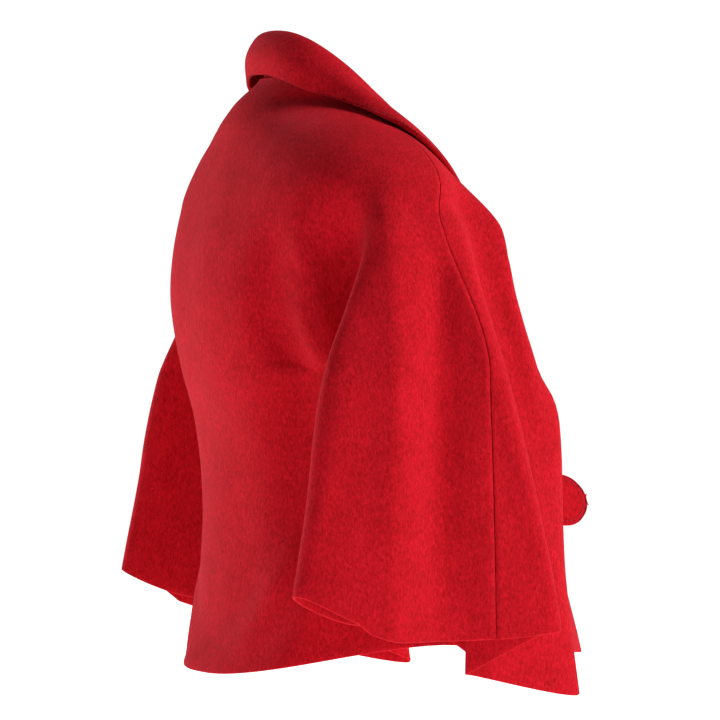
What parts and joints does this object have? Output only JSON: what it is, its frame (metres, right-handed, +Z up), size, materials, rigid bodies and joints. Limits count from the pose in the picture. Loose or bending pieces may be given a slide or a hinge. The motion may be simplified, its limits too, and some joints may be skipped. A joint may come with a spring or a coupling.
{
  "type": "capelet",
  "caption": "Short red wool capelet with wide split sleeves, a turned-down collar and a rounded tab at the front.",
  "frame": {"origin": "at the nape, on the wearer's axis, level with the middle of the back neck seam", "axes": "+Z up the wearer's axis, -Y towards the wearer's front, +X towards the wearer's left"},
  "size_m": [0.5662, 0.4093, 0.618],
  "materials": {
    "boiled_wool": "brushed boiled wool, matt with a soft nap",
    "collar_wool": "the same wool, turned double and pressed"
  },
  "bodies": {
    "root": {"back_and_sleeve_backs": "boiled_wool", "left_front_and_sleeve": "boiled_wool", "right_front_and_sleeve": "boiled_wool", "collar": "collar_wool", "front_tab": "collar_wool"}
  },
  "joints": []
}
